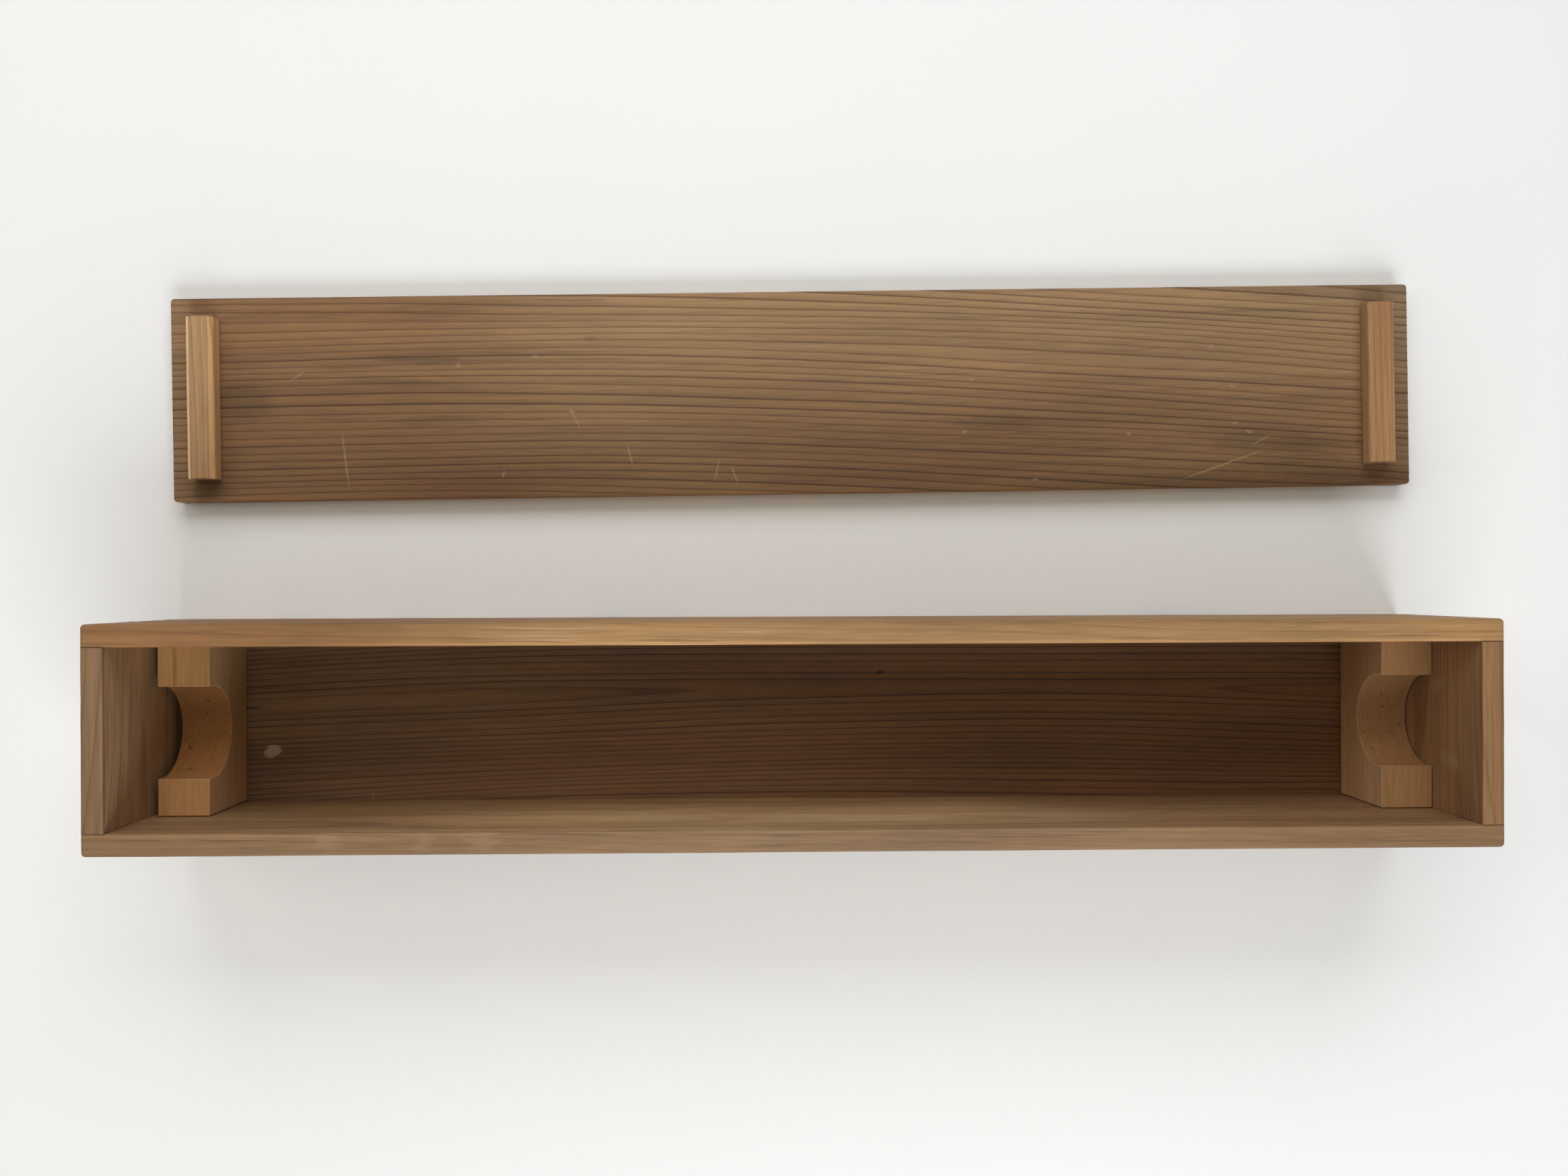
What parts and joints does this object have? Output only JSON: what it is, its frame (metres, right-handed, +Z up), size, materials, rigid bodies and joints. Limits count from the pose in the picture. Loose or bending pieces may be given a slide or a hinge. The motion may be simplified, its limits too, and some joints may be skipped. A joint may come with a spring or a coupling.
{
  "type": "hanging scroll box",
  "caption": "Long narrow wooden box for a rolled hanging scroll, open, with notched rests inside its ends and its loose battened lid lying upside down behind it.",
  "frame": {"origin": "centre of the box's underside, on the surface that it stands on", "axes": "+X along the box's length, +Y from the box towards its lid, +Z up"},
  "size_m": [0.4713, 0.2026, 0.074],
  "materials": {
    "bottom_wood": "planed, unvarnished",
    "wall_wood": "planed, unvarnished",
    "end_wood": "planed, unvarnished",
    "rest_wood": "planed, unvarnished",
    "lid_wood": "planed, unvarnished",
    "batten_wood": "planed, unvarnished",
    "peg_wood": "planed, unvarnished"
  },
  "bodies": {
    "box": {"bottom_board": "bottom_wood", "front_wall": "wall_wood", "back_wall": "wall_wood", "left_end_board": "end_wood", "right_end_board": "end_wood", "left_scroll_rest": "rest_wood", "right_scroll_rest": "rest_wood", "front_left_corner_peg_1": "peg_wood", "front_left_corner_peg_2": "peg_wood", "front_left_corner_peg_3": "peg_wood", "front_right_corner_peg_1": "peg_wood", "front_right_corner_peg_2": "peg_wood", "front_right_corner_peg_3": "peg_wood", "back_left_corner_peg_1": "peg_wood", "back_left_corner_peg_2": "peg_wood", "back_left_corner_peg_3": "peg_wood", "back_right_corner_peg_1": "peg_wood", "back_right_corner_peg_2": "peg_wood", "back_right_corner_peg_3": "peg_wood", "bottom_front_peg_1": "peg_wood", "bottom_front_peg_2": "peg_wood", "bottom_front_peg_3": "peg_wood", "bottom_front_peg_4": "peg_wood", "bottom_back_peg_1": "peg_wood", "bottom_back_peg_2": "peg_wood", "bottom_back_peg_3": "peg_wood", "bottom_back_peg_4": "peg_wood", "bottom_left_peg": "peg_wood", "bottom_right_peg": "peg_wood"},
    "lid": {"lid_board": "lid_wood", "left_lid_batten": "batten_wood", "right_lid_batten": "batten_wood", "left_batten_peg_1": "peg_wood", "left_batten_peg_2": "peg_wood", "right_batten_peg_1": "peg_wood", "right_batten_peg_2": "peg_wood"}
  },
  "joints": [
    {"name": "lid_lift", "type": "slide", "parent": "box", "child": "lid", "axis": [0, 0, 1], "range_m": [0, 0.12]}
  ]
}
